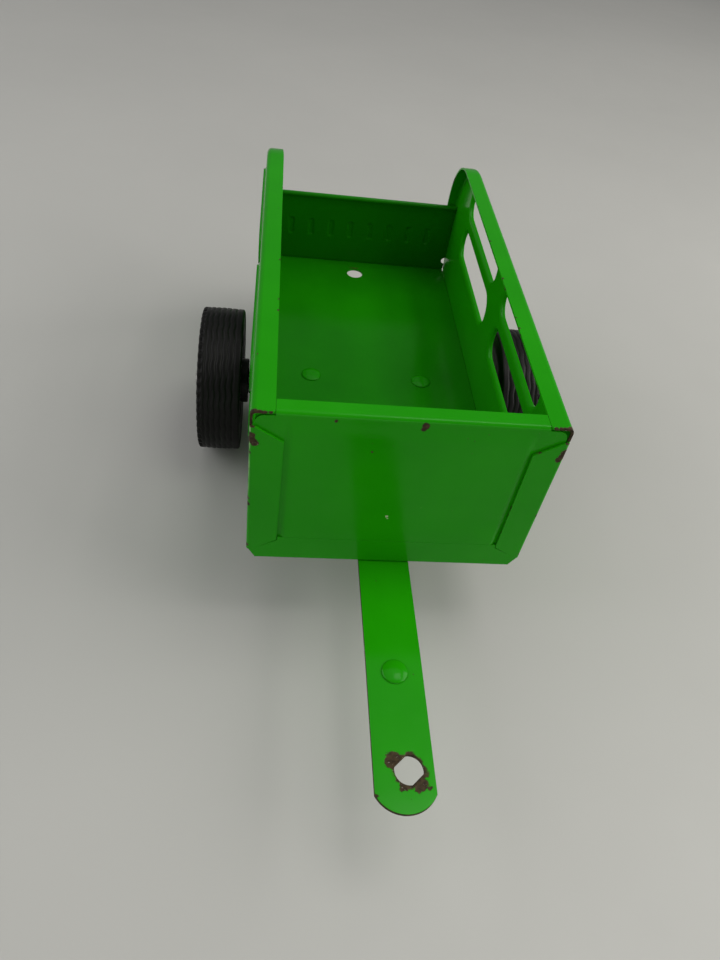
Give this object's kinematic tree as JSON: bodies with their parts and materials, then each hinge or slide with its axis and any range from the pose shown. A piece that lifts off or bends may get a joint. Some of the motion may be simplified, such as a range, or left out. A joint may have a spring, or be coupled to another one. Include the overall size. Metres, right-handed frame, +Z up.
{
  "type": "toy farm trailer",
  "caption": "Open pressed-steel toy trailer with slotted sides, a low rear wall, a flat drawbar with a hitch hole, and black wheels that spin on a fixed axle.",
  "frame": {"origin": "on the ground, in the middle of the bounds in X and Y", "axes": "+Z up, front with the drawbar towards -Y, +X to the right as seen from the front"},
  "size_m": [0.1644, 0.3134, 0.1122],
  "materials": {
    "green_paint": "gloss",
    "steel": "satin",
    "cap_steel": "gloss",
    "wheel_plastic": "gloss",
    "tyre": "matte",
    "spacer_plastic": "matte"
  },
  "bodies": {
    "chassis": {"floor_pan": "green_paint", "front_panel": "green_paint", "rear_panel": "green_paint", "side_panel_left": "green_paint", "side_panel_right": "green_paint", "drawbar": "green_paint", "drawbar_rivet": "green_paint", "floor_rivet_left": "green_paint", "floor_rivet_right": "green_paint", "axle_bracket": "green_paint", "axle": "steel", "hub_spacer_left": "spacer_plastic", "axle_cap_left": "cap_steel", "hub_spacer_right": "spacer_plastic", "axle_cap_right": "cap_steel"},
    "left_wheel": {"wheel_left": "wheel_plastic", "tyre_left": "tyre"},
    "right_wheel": {"wheel_right": "wheel_plastic", "tyre_right": "tyre"}
  },
  "joints": [
    {"name": "left_wheel_spin", "type": "hinge", "parent": "chassis", "child": "left_wheel", "pos_m": [-0.0692, 0.04945, 0.0335], "axis": [1, 0, 0], "continuous": true},
    {"name": "right_wheel_spin", "type": "hinge", "parent": "chassis", "child": "right_wheel", "pos_m": [0.0692, 0.04945, 0.0335], "axis": [1, 0, 0], "continuous": true}
  ]
}
